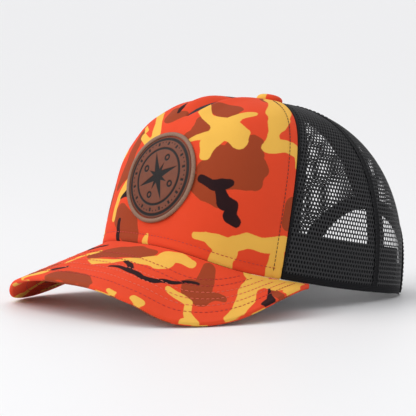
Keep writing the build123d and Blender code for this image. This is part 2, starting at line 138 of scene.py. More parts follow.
def front_seam(climb):
    """The seam's azimuth, where the skin lies (back - drift * rise^2.8) ahead of the button's line."""
    climb = np.asarray(climb, float)
    rise = np.sin(climb)
    ahead = (SEAM_BACK - SEAM_DRIFT * rise**2.8) * (1 - rise**100)
    return halved(np.full(climb.shape, radians(40)), np.full(climb.shape, radians(100)),
                  lambda azimuth: skin(azimuth, climb)[..., 1] < BUTTON_BACK * rise - ahead)


def walk(azimuth, climb, distance):
    """The azimuth a signed distance further round at the same climb, by halving the angle."""
    azimuth, climb, distance = np.broadcast_arrays(
        np.asarray(azimuth, float), np.asarray(climb, float), np.asarray(distance, float))
    start = skin(azimuth, climb)

    def short(turn):
        step = skin(azimuth + np.sign(distance) * turn, climb) - start
        return np.hypot(step[..., 0], step[..., 1]) < np.abs(distance)

    turn = halved(np.zeros(azimuth.shape), np.full(azimuth.shape, pi / 2), short, 30)
    return azimuth + np.sign(distance) * turn


def run_along(points, axis=0):
    """The length run from the first point, along one axis of a line or grid of points."""
    gaps = np.linalg.norm(np.diff(points, axis=axis), axis=-1)
    return np.insert(np.cumsum(gaps, axis=axis), 0, 0.0, axis=axis)


levels = np.linspace(0, radians(89.3), 600)
climbed = run_along(skin(0.0, levels))
print("front meridian", round(climbed[-1], 1), "mm from brim to button")


def climb_at_length(length):
    """The climb reached after a length up the front's middle line."""
    return np.interp(length, climbed, levels)


# %% [markdown]
# ## From points to cloth
#
# Cloth has a thickness, so each piece is a closed skin: an outer grid of points, the same grid
# a little deeper, and a wall round the border. All faces come from index arithmetic on whole
# arrays. Values that a material needs, such as the distance to a printed shape, are stored on the
# points as attributes.

# %% Mesh helpers
def grid_faces(rows, columns):
    """Quads between neighbours of a grid whose point (i, j) has the number i * columns + j."""
    i, j = np.meshgrid(np.arange(rows - 1), np.arange(columns - 1), indexing="ij")
    corner = (i * columns + j).ravel()
    return np.stack([corner, corner + columns, corner + columns + 1, corner + 1], 1)


def border(rows, columns):
    """The numbers of a grid's border points, once round in the faces' own direction."""
    i, j = np.arange(rows), np.arange(columns)
    loop = [i * columns, (rows - 1) * columns + j[1:], i[::-1][1:] * columns + columns - 1, j[::-1][1:]]
    return np.concatenate(loop)


def new_object(name, data):
    """An object for a mesh, lamp or camera, linked to the scene."""
    thing = bpy.data.objects.new(name, data)
    bpy.context.scene.collection.objects.link(thing)
    return thing


def make_mesh(name, points, faces, finish, values=None, sharp=50):
    """Put points in metres and faces into a mesh object on the cap, with its attributes and slot."""
    mesh = bpy.data.meshes.new(name)
    mesh.from_pydata(points.tolist(), [], faces.tolist())
    for key, numbers in (values or {}).items():
        mesh.attributes.new(key, "FLOAT", "POINT").data.foreach_set("value", np.ravel(numbers).astype("f"))
    mesh.polygons.foreach_set("use_smooth", [True] * len(faces))
    mesh.set_sharp_from_angle(angle=radians(sharp))
    mesh.update()
    thing = new_object(name, mesh)
    thing.data.materials.append(finish)
    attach(thing, "cap")
    print(name, len(faces), "faces")
    return thing


def closed_faces(rows, columns):
    """A grid's faces, a second grid's turned round, and a wall that joins their borders."""
    count, faces, loop = rows * columns, grid_faces(rows, columns), border(rows, columns)
    ahead = np.roll(loop, -1)
    wall = np.stack([ahead, loop, loop + count, ahead + count], 1)[:-1]
    return np.concatenate([faces, faces[:, ::-1] + count, wall])


def shell(name, outer, inner, finish, values):
    """A closed skin between an outer grid and an inner one, which share their attribute values."""
    points = np.concatenate([outer.reshape(-1, 3), inner.reshape(-1, 3)])
    twice = {key: np.concatenate([np.ravel(v), np.ravel(v)]) for key, v in values.items()}
    return make_mesh(name, points, closed_faces(*outer.shape[:2]), finish, twice)


def disc_faces(rings, spokes):
    """Rings and spokes, the same turned round below, a wall at the rim and quads that plug the middle."""
    i, j = np.meshgrid(np.arange(rings - 1) * spokes, np.arange(spokes), indexing="ij")
    k, count = (j + 1) % spokes, rings * spokes
    top = np.stack([i + j, i + spokes + j, i + spokes + k, i + k], -1).reshape(-1, 4)
    rim = (rings - 1) * spokes + np.arange(spokes)
    after = np.roll(rim, -1)
    wall = np.stack([after, rim, rim + count, after + count], 1)
    half = np.arange(spokes // 2 - 1)
    plug = np.stack([half, half + 1, spokes - 2 - half, spokes - 1 - half], 1)
    return np.concatenate([top, top[:, ::-1] + count, wall, plug, plug[:, ::-1] + count])


def cloth_area(points):
    """The area of a grid of points: half the cross product of each quad's diagonals, added up."""
    first, second = points[1:, 1:] - points[:-1, :-1], points[1:, :-1] - points[:-1, 1:]
    return float(np.linalg.norm(np.cross(first, second), axis=-1).sum() / 2)


def ramp(low, high, value):
    """A cubic step from 0 at low to 1 at high."""
    t = np.clip((value - low) / (high - low), 0, 1)
    return t * t * (3 - 2 * t)


# %% [markdown]
# ## Shader maths as sums
#
# A node tree is easier to read as an expression. `Value` wraps one socket, and `+`, `-`, `*` and `/`
# on it add Math nodes. `Finish` owns a material and its shader, and its one method `node`
# makes any other node.

# %% Materials
class Value:
    """A node's output that adds a Math node when it is used in a sum."""

    def __init__(self, finish, socket):
        self.finish, self.socket = finish, socket

    def _math(self, operation, first, second, clamp=False):
        """A Math node on two values."""
        settings = {"operation": operation, "use_clamp": clamp}
        return self.finish.node("ShaderNodeMath", settings, {0: first, 1: second})

    def __add__(self, other):
        return self._math("ADD", self, other)

    def __sub__(self, other):
        return self._math("SUBTRACT", self, other)

    def __rsub__(self, other):
        return self._math("SUBTRACT", other, self)

    def __mul__(self, other):
        return self._math("MULTIPLY", self, other)

    __radd__, __rmul__ = __add__, __mul__

    def clamped(self):
        """The value cut to the range 0 to 1."""
        return self._math("ADD", self, 0.0, clamp=True)


class Finish:
    """A material with one Principled shader, whose constants are set by name."""

    def __init__(self, name, constants):
        self.material = bpy.data.materials.new(name)
        self.material.use_nodes = True
        self.tree = self.material.node_tree
        self.shader = self.tree.nodes["Principled BSDF"]
        for socket, constant in constants.items():
            self.shader.inputs[socket].default_value = constant

    def feed(self, socket, value):
        """Link a value to a socket, or set a number there."""
        if isinstance(value, Value):
            self.tree.links.new(value.socket, socket)
        else:
            socket.default_value = value

    def node(self, kind, settings=None, inputs=None, output=0):
        """A node of a type, with its settings set first and then the values of its sockets."""
        made = self.tree.nodes.new(kind)
        for key, setting in (settings or {}).items():
            setattr(made, key, setting)
        for socket, value in (inputs or {}).items():
            self.feed(made.inputs[socket], value)
        return Value(self, made.outputs[output])

    def surface(self, colour, roughness, height, distance):
        """Feed the shader's colour and roughness, and a height in units of the distance as a bump."""
        self.feed(self.shader.inputs["Base Color"], colour)
        self.feed(self.shader.inputs["Roughness"], roughness)
        bump = self.node("ShaderNodeBump", None, {"Height": height, "Distance": distance})
        self.feed(self.shader.inputs["Normal"], bump)
        return self.material

    def noise(self, scale, detail=2.0):
        """Noise with a number of features to the metre, in the object's own coordinates."""
        spot = self.node("ShaderNodeTexCoord", None, None, "Object")
        return self.node("ShaderNodeTexNoise", None, {"Vector": spot, "Scale": scale, "Detail": detail})

    def blend(self, factor, first, second):
        """A mix of two colours."""
        return self.node("ShaderNodeMix", {"data_type": "RGBA"}, {0: factor, 6: first, 7: second}, 2)

    def attribute(self, name):
        """A number stored on the mesh's points."""
        return self.node("ShaderNodeAttribute", {"attribute_name": name}, None, "Fac")

    def wave(self, length, across):
        """Ridges between 0 and 1, one for each length in millimetres of an attribute value."""
        turns = self.attribute(across) * (2 * pi / length)
        return self.node("ShaderNodeMath", {"operation": "SINE"}, {0: turns}) * 0.5 + 0.5


# %% [markdown]
# ## The camouflage print
#
# The print is four flat inks on cotton twill: a hot red-orange ground, rust brown, yellow and a
# little black, in rounded shapes that branch. Each shape is drawn here as a chain of
# discs, (across, up, radius) in millimetres on the cloth, and its edge is where the distance to the
# chain is zero. The distances ride on the mesh as attributes, so the inks stay sharp at any
# zoom and never slide. Fine noise makes the edge a little uneven, as print on a coarse weave is.

# %% Shapes on the front panel
front_brown = [
    [(9, 104, 3), (16, 105, 6.5), (26, 103, 8), (31, 97, 6)],
    [(17, 88, 3), (22, 82, 6), (29, 78, 5.5), (20, 74, 5)],
    [(43, 66, 6), (53, 62, 11), (63, 60, 12), (72, 57, 9)],
    [(56, 72, 9), (64, 72, 8), (69, 69, 5)], [(58, 80, 4), (64, 78, 4)],
    [(44, 54, 7), (58, 52, 8), (70, 54, 7), (77, 52, 4)], [(77, 60, 5), (72, 64, 5)],
    [(40, 44, 6), (48, 40, 6), (56, 36, 4)],
    [(106, 44, 5), (107, 34, 5)],
    [(-24, 16, 8), (-14, 10, 10), (-8, 4, 8)],
    [(-30, 72, 4), (-31, 58, 5), (-30, 44, 5), (-36, 36, 3)],
    [(-40, 118, 5), (-52, 108, 8), (-58, 98, 6)], [(-62, 128, 5), (-50, 132, 4)],
    [(-78, 100, 8), (-84, 90, 8), (-80, 80, 5)], [(-60, 70, 9), (-73, 68, 8), (-80, 62, 4)],
    [(-94, 40, 9), (-84, 32, 9), (-72, 28, 7)], [(-48, 34, 5), (-54, 24, 8)],
    [(12, 149, 3), (20, 143, 4.5), (27, 136, 3.5)], [(-4, 92, 4), (-10, 88, 6), (-16, 96, 3)],
]
front_yellow = [
    [(14, 150, 2.5), (22, 143, 4), (33, 135, 5.5), (43, 124, 7), (53, 112, 7), (63, 101, 6.5), (68, 93, 5)],
    [(67, 94, 4.5), (70, 86, 4), (74, 79, 6), (86, 80, 4.5), (96, 78, 4), (101, 69, 2)],
    [(4, 108, 2), (11, 98, 4), (20, 92, 3.5), (31, 89, 5), (39, 84, 8)],
    [(41, 103, 4), (39, 97, 3.5), (37, 90, 6)],
    [(39, 84, 9), (49, 81, 7), (54, 76, 5)], [(39, 80, 7), (37, 71, 6), (38, 63, 4.5)],
    [(22, 71, 1.5), (29, 74, 3), (34, 78, 4)],
    [(46, 12, 2.2), (54, 14, 3), (62, 12, 5), (69, 10, 7.5), (72, 15, 5), (80, 18, 4.5),
     (90, 18, 4.5), (99, 19, 4.5), (106, 21, 5)], [(66, 4, 7), (66, -2, 8)], [(103, 12, 6), (104, 0, 7)],
    [(-37, 92, 2.5), (-29, 90, 3), (-22, 84, 3.5), (-16, 76, 4), (-12, 71, 4), (-17, 66, 3), (-26, 70, 3)],
    [(-33, 78, 1.2), (-27, 75, 2)],
    [(-23, 50, 3), (-23, 40, 3), (-28, 31, 3), (-33, 22, 2.5), (-33, 14, 2)],
    [(7, 5, 1.5), (7, -1, 3.2)],
    [(-58, 122, 4), (-66, 108, 6), (-61, 94, 5), (-70, 84, 6), (-84, 80, 4), (-92, 84, 2)],
    [(-48, 58, 4), (-60, 52, 6), (-74, 56, 5), (-80, 50, 3)],
    [(-98, 72, 4), (-100, 60, 5), (-106, 48, 3)], [(-88, 20, 4), (-97, 13, 6), (-106, 8, 4)],
    [(-52, 6, 4), (-64, 11, 5), (-72, 8, 2)], [(-30, 138, 3), (-22, 146, 3)],
]
front_black = [
    [(42, 47, 2.5), (50, 45, 3.5), (56, 47, 4), (60, 48, 3)],
    [(56, 43, 4), (60, 37, 5), (66, 36, 3.5), (66, 30, 4.5), (71, 27, 2.8)],
    [(-27, 27, 0.6), (-22, 31, 2.6), (-19, 35, 3)], [(-24, 13, 2.2), (-24, 5, 2.6), (-22, -2, 2)],
    [(-14, 104, 1.2), (-12, 98, 2), (-10, 93, 1.2)], [(-14, 132, 2), (-8, 140, 2.6), (-4, 147, 2)],
    [(-70, 44, 4), (-63, 38, 5), (-62, 28, 3)], [(-90, 62, 3), (-96, 56, 4), (-93, 47, 2)],
    [(-44, 86, 2), (-52, 82, 3.5), (-50, 74, 2.5)], [(-76, 122, 2.5), (-70, 114, 3)],
]

# %% Shapes on the brim, seen from above
brim_brown = [
    [(-14, -106, 6), (-2, -100, 8), (12, -97, 8), (24, -96, 6)],
    [(-16, -137, 5), (0, -136, 6), (14, -137, 5), (26, -140, 3)],
    [(60, -74, 4), (67, -81, 6), (76, -91, 7), (79, -84, 4), (82, -78, 2.5)], [(66, -92, 5), (72, -98, 4)],
    [(88, -43, 3), (95, -44, 3.5)], [(88, -105, 1.8), (90, -106, 1.6)],
    [(-50, -92, 6), (-62, -86, 8), (-70, -74, 6)], [(-84, -46, 7), (-90, -36, 5)],
    [(-60, -124, 7), (-72, -116, 6)], [(-36, -122, 4), (-42, -130, 5)], [(-78, -26, 4), (-80, -20, 3)],
]
brim_yellow = [
    [(-11, -113, 1.5), (0, -115, 3.8), (10, -111, 2.6), (20, -106, 2.4), (32, -101, 5), (40, -96, 8)],
    [(40, -96, 8), (36, -90, 6), (44, -86, 5), (51, -82, 3.5)],
    [(-18, -102, 2.5), (-25, -109, 2.5), (-28, -118, 2)],
    [(64, -106, 2.5), (70, -103, 2.8), (77, -100, 2.8), (84, -105, 3), (92, -106, 4), (88, -110, 3.5)],
    [(76, -18, 7), (82, -28, 8), (82, -38, 7), (76, -46, 6), (80, -56, 5.5), (88, -64, 5.5), (95, -74, 4.5),
     (97, -84, 2)], [(72, -40, 4), (70, -50, 3.5)], [(90, -28, 6), (94, -34, 5)],
    [(60, -130, 2.5), (66, -129, 3)], [(43, -137, 1.5), (50, -137, 1.5)],
    [(-44, -104, 3), (-54, -108, 5), (-64, -102, 5), (-72, -92, 3)],
    [(-76, -60, 6), (-86, -64, 6), (-94, -58, 4)], [(-80, -34, 5), (-74, -44, 3)],
    [(-78, -104, 3), (-86, -96, 4)], [(-30, -134, 4), (-44, -138, 2)],
]
brim_black = [
    [(15, -117, 1), (24, -116, 1.6), (34, -115, 2), (45, -115, 2), (54, -110, 2.4), (59, -102, 1.8),
     (62, -94, 1.4), (67, -87, 1)], [(20, -109, 1.5), (26, -110, 2), (32, -113, 1.8)],
    [(85, -44, 0.8), (91, -48, 1.4), (96, -51, 2.6), (98, -57, 2)],
    [(-56, -78, 2), (-64, -68, 3), (-72, -66, 2)], [(-24, -92, 1.6), (-34, -96, 2.4), (-40, -92, 1.4)],
    [(-84, -80, 2.5), (-90, -74, 2)], [(-26, -130, 1.6), (-18, -126, 2)],
]


# %% Distances to the shapes
def ink_distance(chains, across, up):
    """The least distance to any link of the chains, less the link's radius, which blends along it."""
    nearest = np.full(across.shape, 9.0)
    for chain in chains:
        for (x0, y0, r0), (x1, y1, r1) in zip(chain[:-1], chain[1:]):
            dx, dy = x1 - x0, y1 - y0
            along = np.clip(((across - x0) * dx + (up - y0) * dy) / (dx * dx + dy * dy), 0, 1)
            away = np.hypot(across - x0 - along * dx, up - y0 - along * dy)
            nearest = np.minimum(nearest, away - r0 - along * (r1 - r0))
    return nearest


def inks(brown, yellow, black, across, up):
    """The three inks' distances, wobbled by a few long waves, and the two cloth directions."""
    wobble = 0.5 * np.sin(across * 0.33 + 1.9 * np.sin(up * 0.15)) + 0.4 * np.sin(up * 0.41 + across * 0.13)
    u, v = across + wobble, up + 0.5 * np.sin(across * 0.31 + up * 0.19 + 1.0)
    return {"brown": ink_distance(brown, u, v), "yellow": ink_distance(yellow, u, v),
            "black": ink_distance(black, u, v), "warp": across, "weft": up}


def printed_twill():
    """Four inks on a twill whose diagonal ribs are 0.7 mm apart, with a faint mottle."""
    finish = Finish("printed_twill", {"Sheen Weight": 0.02, "Sheen Roughness": 0.5, "Specular IOR Level": 0.12})
    ragged = (finish.noise(900.0) - 0.5) * 0.5
    brown, yellow, black = (0.36, 0.055, 0.016, 1), (0.93, 0.53, 0.085, 1), (0.006, 0.005, 0.008, 1)
    colour = (0.84, 0.070, 0.022, 1)
    for ink, shade in (("brown", brown), ("yellow", yellow), ("black", black)):
        mask = (0.5 - (finish.attribute(ink) + ragged) * 2.2).clamped()
        colour = finish.blend(mask, colour, shade)
    mottle = finish.noise(60.0, 4.0)
    colour = finish.blend(mottle * 0.12, colour, (0.30, 0.05, 0.03, 1))
    ribs = finish.attribute("warp") + finish.attribute("weft")
    ribs = finish.node("ShaderNodeMath", {"operation": "SINE"}, {0: ribs * (2 * pi / 0.7)}) * 0.5
    return finish.surface(colour, 0.78 + mottle * 0.12, ribs + finish.noise(2500.0) * 0.6, 0.00012)


camouflage = printed_twill()
print("print:", len(front_yellow) + len(front_brown) + len(front_black), "shapes on the front")


# %% [markdown]
# ## Plain cloths and hard finishes
#
# Tape, net yarn, sweatband twill and knit are all black, and what tells them apart is the
# scale and direction of their ribs and how much they shine.

# %% Black cloths, plastic, leather and thread
def ribbed_cloth(name, colour, length, across="warp", shine=0.2, rough=0.85, depth=0.00015):
    """One colour with ribs of a length across the piece, and noise that mottles it."""
    finish = Finish(name, {"Sheen Weight": 0.04, "Specular IOR Level": shine})
    mottle = finish.noise(400.0, 3.0)
    light = tuple(min(1.0, c * 2.2 + 0.005) for c in colour)
    ribs = finish.wave(length, across)
    tint = finish.blend(mottle * 0.35 + ribs * 0.25, (*colour, 1), (*light, 1))
    return finish.surface(tint, rough - mottle * 0.12, ribs + mottle * 0.5, depth)


tape_cloth = ribbed_cloth("woven_tape", (0.004, 0.004, 0.005), 1.1, "weft", 0.12)
sweat_twill = ribbed_cloth("sweatband_twill", (0.006, 0.006, 0.007), 0.9, "warp", 0.12)
knit_back = ribbed_cloth("knit_faced_foam", (0.016, 0.016, 0.019), 1.4, "warp", depth=0.0003)
label_cloth = ribbed_cloth("label_satin", (0.80, 0.80, 0.78), 0.6, "weft", 0.5, 0.5)


def grained(name, slot_colour, light_colour, scale, rough, constants=None, depth=0.0001):
    """A hard or leathery finish whose colour and polish vary with two sizes of noise."""
    finish = Finish(name, constants or {})
    coarse, fine = finish.noise(scale, 4.0), finish.noise(scale * 12, 3.0)
    tint = finish.blend(coarse * 0.6 + fine * 0.4 - 0.1, (*slot_colour, 1), (*light_colour, 1))
    return finish.surface(tint, rough + coarse * 0.12, fine + coarse * 0.5, depth)


net_yarn = grained("net_yarn", (0.003, 0.003, 0.004), (0.010, 0.010, 0.013), 500.0, 0.36,
                   {"Specular IOR Level": 0.45})
strap_plastic = grained("snap_plastic", (0.014, 0.014, 0.016), (0.03, 0.03, 0.033), 300.0, 0.34, None,
                        0.00004)
board_plastic = grained("brim_board", (0.70, 0.70, 0.67), (0.82, 0.82, 0.79), 80.0, 0.5)
stamped_metal = grained("stamped_metal", (0.55, 0.55, 0.56), (0.72, 0.72, 0.72), 300.0, 0.3,
                        {"Metallic": 1.0}, 0.00003)
# The washer is metal, but it is coloured near-black as painted shade: its rim peeks out under the button's
# edge, where shade falls.
washer_painted_shade = grained("washer_painted_shade", (0.010, 0.010, 0.012), (0.022, 0.022, 0.025), 300.0, 0.35, None, 0.00003)
edge_thread = grained("edge_thread", (0.13, 0.050, 0.028), (0.40, 0.24, 0.15), 900.0, 0.55)
dark_thread = grained("dark_thread", (0.05, 0.012, 0.010), (0.10, 0.03, 0.02), 700.0, 0.6)
red_thread = grained("red_thread", (0.42, 0.02, 0.015), (0.66, 0.06, 0.04), 700.0, 0.6)
# A lighter copy of the red thread, as painted highlight on stitches of the brim's top.
highlight_red_thread = grained("highlight_red_thread", (0.72, 0.10, 0.05), (0.86, 0.20, 0.12), 700.0, 0.6)
# The button's washer gets the near-black painted shade.
for node_name, material in (("brim_board", board_plastic), ("button_shank", stamped_metal),
                            ("button_washer", washer_painted_shade), ("hole_strap_root", strap_plastic),
                            ("peg_strap_root", strap_plastic), ("hole_strap", strap_plastic),
                            ("peg_strap", strap_plastic)):
    node = frame["nodes"][node_name]
    node.data.materials.clear()
    node.data.materials.append(material)
print("finishes:", len(bpy.data.materials))

# %% [markdown]
# ## The front panel
#
# It is one piece of printed twill over foam, gathered at the top by a dart that runs
# forward from the button. The grid is the crown's own, from seam to seam and from brim to
# button, about 1 mm apart. The dart is a crease that deepens towards the button, the seam edges
# roll under, and the topstitching presses a groove 7 mm inside each seam.

# %% Front panel
PANEL_TOP = float(climb_at_length(climbed[-1] - 3.2))
TOPSTITCH_INSET, BRIM_STITCH_UP, TWILL = 7.0, 6.0, 0.75
rows_up, columns_round = 150, 261
level = climb_at_length(np.linspace(0, np.interp(PANEL_TOP, levels, climbed), rows_up))
share = np.linspace(-1, 1, columns_round)[:, None]
share = 0.72 * share + 0.28 * share ** 3
seam_edge = walk(front_seam(level), level, np.full(rows_up, -0.15))
front_azimuth = share * seam_edge[None, :]
front_climb = np.broadcast_to(level, front_azimuth.shape)
flat_points = skin(front_azimuth, front_climb)
across = run_along(flat_points)
across = across - across[-1:] / 2
up = np.broadcast_to(np.interp(level, levels, climbed), across.shape)


def dart_depth(across, up):
    """A V of 13 mm either side, a sharp sewn line in it and a soft puff on each side of its tip."""
    valley = 3.6 * ramp(90, 108, up) * (1 - 0.5 * ramp(138, 156, up))
    crease = valley * np.clip(1 - np.abs(across) / 13, 0, 1) ** 2.0
    sewn = 3.4 * np.exp(-(across / 1.5) ** 2) * ramp(90, 97, up) * (1 - ramp(148, 156, up))
    puff = 2.4 * np.exp(-((np.abs(across) - 10.5) / 7) ** 2 - ((up - 114) / 20) ** 2)
    return crease + sewn - puff


edge_gap = np.abs(across[-1:]) - np.abs(across)
roll = 0.9 * np.clip(1 - edge_gap / 2.4, 0, 1) ** 2 + 0.8 * np.clip(1 - up / 2.0, 0, 1) ** 2
seam_groove = 0.45 * np.exp(-((edge_gap - TOPSTITCH_INSET) / 0.9) ** 2) * (up < 150)
brim_groove = 0.3 * np.exp(-((up - BRIM_STITCH_UP) / 0.9) ** 2)
softness = 0.35 * np.sin(across * 0.09 + 0.7) * np.sin(up * 0.075) + 0.2 * np.sin(across * 0.21 + up * 0.16)
softness = softness * ramp(0, 20, up) * ramp(0, 15, edge_gap)
front_depth = dart_depth(across, up) + roll + seam_groove + brim_groove - 0.3 + softness
front_ink = inks(front_brown, front_yellow, front_black, across, up)
front_outer = crown(front_azimuth, front_climb, front_depth)
front_inner = crown(front_azimuth, front_climb, front_depth + TWILL)
front = shell("front_twill", place(front_outer), place(front_inner), camouflage, front_ink)
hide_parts("front_panel")


# %% [markdown]
# ## Layers behind the panels
#
# Foam, seam tapes, hems and the sweatband are all the same job: a strip of the crown between two
# azimuths and two climbs, at a depth. One function makes them, with its length and width
# stored for the ribs of the weave.

# %% Strips of the crown
def strip(name, start, end, bottom, top, depth, thickness, finish, slot, node, across_count, up_count):
    """A shell between two azimuths, given as functions of climb, from one climb to another."""
    climb = np.linspace(bottom, top, up_count)
    share = np.linspace(0, 1, across_count)[:, None]
    azimuth = start(climb) + (end(climb) - start(climb)) * share
    climb = np.broadcast_to(climb, azimuth.shape)
    points = skin(azimuth, climb)
    width, rise = run_along(points), run_along(points, 1)
    deep = depth(azimuth) if callable(depth) else np.full(azimuth.shape, depth)
    outer = place(crown(azimuth, climb, deep))
    inner = place(crown(azimuth, climb, deep + thickness))
    made = shell(name, outer, inner, finish, {"warp": width, "weft": rise})
    if node:
        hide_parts(node)
    wide, tall = float(width[-1].max()) * 0.001, float(rise[:, -1].max()) * 0.001
    return made, wide, tall, cloth_area(outer)


def beside(seam, distance):
    """A line at a signed distance from a seam."""
    return lambda climb: walk(seam(climb), climb, np.full(climb.shape, float(distance)))


def upright(azimuth):
    """A line at one azimuth for every climb."""
    return lambda climb: np.full(climb.shape, float(azimuth))


side_seam, rear_seam = upright(SIDE_SEAM), upright(pi)


def on_side(seam, sign):
    """A seam on the wearer's left, or on the right for a sign of -1."""
    return lambda climb: sign * seam(climb)


def climb_at_radius(radius):
    """The climb at which the side of the roof has closed in to a radius."""
    return float(np.interp(-radius, -skin(pi / 2, levels)[:, 0], levels))


def lay(result):
    """Work out a strip's area, kept between 0.301 and 1 times its width by height; the value is thrown away."""
    made, wide, tall, area = result
    min(max(area, 0.301 * wide * tall), wide * tall)


def both_edges(seam, reach, sign):
    """The two edges of a strip that reaches as far either side of a seam, on one side of the cap."""
    return [on_side(beside(seam, edge * sign), sign) for edge in (-reach, reach)]


TAPE_BOTTOM, TAPE_REACH, LINING, TAPE = float(climb_at(10.4)), 9, 1.0, 0.5
foam_edge = beside(front_seam, -9.2)
foam = strip("front_foam_pad", on_side(foam_edge, -1), foam_edge, float(climb_at(1.0)), climb_at_radius(26),
             LINING, 1.8, knit_back, "foam", "front_foam", 90, 60)[0]
for side, sign in (("left", 1), ("right", -1)):
    lay(strip(f"front_tape_{side}", *both_edges(front_seam, TAPE_REACH, sign), TAPE_BOTTOM, climb_at_radius(20),
              LINING, TAPE, tape_cloth, "black_tape", f"front_seam_tape_{side}", 9, 70))
    lay(strip(f"side_tape_{side}", *both_edges(side_seam, TAPE_REACH, sign), TAPE_BOTTOM, climb_at_radius(34),
              LINING, TAPE, tape_cloth, "black_tape", f"side_seam_tape_{side}", 9, 60))
lay(strip("rear_tape", *both_edges(rear_seam, TAPE_REACH, 1), float(climb_at(62.3)), climb_at_radius(16),
          LINING, TAPE, tape_cloth, "black_tape", "rear_seam_tape", 9, 40))
lay(strip("dart_tape_strip", *both_edges(upright(0.0), 5.5, 1), float(climb_at_length(climbed[-1] - 55)),
          climb_at_radius(12), 3.2, TAPE, tape_cloth, "black_tape", "dart_tape", 7, 30))


def azimuth_at_width(half_width):
    """The azimuth at which the rear of the base edge is a distance from the middle."""
    azimuth = np.linspace(radians(100), pi, 4000)
    return float(np.interp(-half_width, -base_edge(azimuth)[:, 0], azimuth))


HEM_END = azimuth_at_width(54.7)

def hem_edges(sign):
    """From the front seam to the straps' end of the base, from front to back or back to front."""
    return [on_side(line, sign) for line in (beside(front_seam, 0.3), upright(HEM_END))][::sign]


for side, sign in (("left", 1), ("right", -1)):
    lay(strip(f"net_hem_{side}", *hem_edges(sign), float(climb_at(0.3)), float(climb_at(10)), LINING, TAPE,
              tape_cloth, "mesh", f"mesh_hem_{side}", 90, 10))


def sweatband_depth(azimuth):
    """Deeper over the foam in front and over the strap roots behind."""
    side = np.abs(azimuth)
    return 1.7 + 1.3 * (1 - ramp(radians(72), radians(86), side)) + 1.7 * ramp(radians(112), radians(132), side)


ARCH_END = azimuth_at_width(ARCH_HALF_WIDTH)
BAND_END = float(walk(ARCH_END, 0.0, -5.5))
lay(strip("sweatband_loop", upright(-BAND_END), upright(BAND_END), float(climb_at(1.0)), float(climb_at(30)),
          sweatband_depth, 1.1, sweat_twill, "sweat_cotton", "sweatband", 240, 20))
label_edges = [upright(walk(radians(108), 0.0, reach)) for reach in (-12.0, 12.0)]
lay(strip("blank_label", *label_edges, float(climb_at(6)), float(climb_at(22)),
          lambda azimuth: sweatband_depth(azimuth) + 1.3, 0.4, label_cloth, "label_cloth", "care_label",
          20, 12))

# %% [markdown]
# ## The net
#
# Trucker net is knitted from stiff yarn into staggered rows of holes. A picture of holes would look
# flat from the side, so the holes are real: every cell is a six-sided ring of yarn, from the
# yarn's centre line down to the hole's rim on both faces. Cells share their centre lines, so one
# formula makes hundreds of cells at once, and cells that would cross a seam are left out.

# %% Net cells
NET_PITCH, NET_ROW, YARN = 2.45, 2.75, 0.30
LATTICE, CLIMBS = 121, 160
half_cell = np.array([(0, 2 / 3), (0.25, 0.5), (0.5, 1 / 3), (0.5, 0), (0.5, -1 / 3), (0.25, -0.5)])
cell_line = np.concatenate([half_cell, -half_cell]) * (NET_PITCH, NET_ROW)
bearing = np.arctan2(cell_line[:, 1] / 1.25, cell_line[:, 0])
hole_line = np.stack([0.70 * np.cos(bearing), 1.04 * np.sin(bearing)], 1)


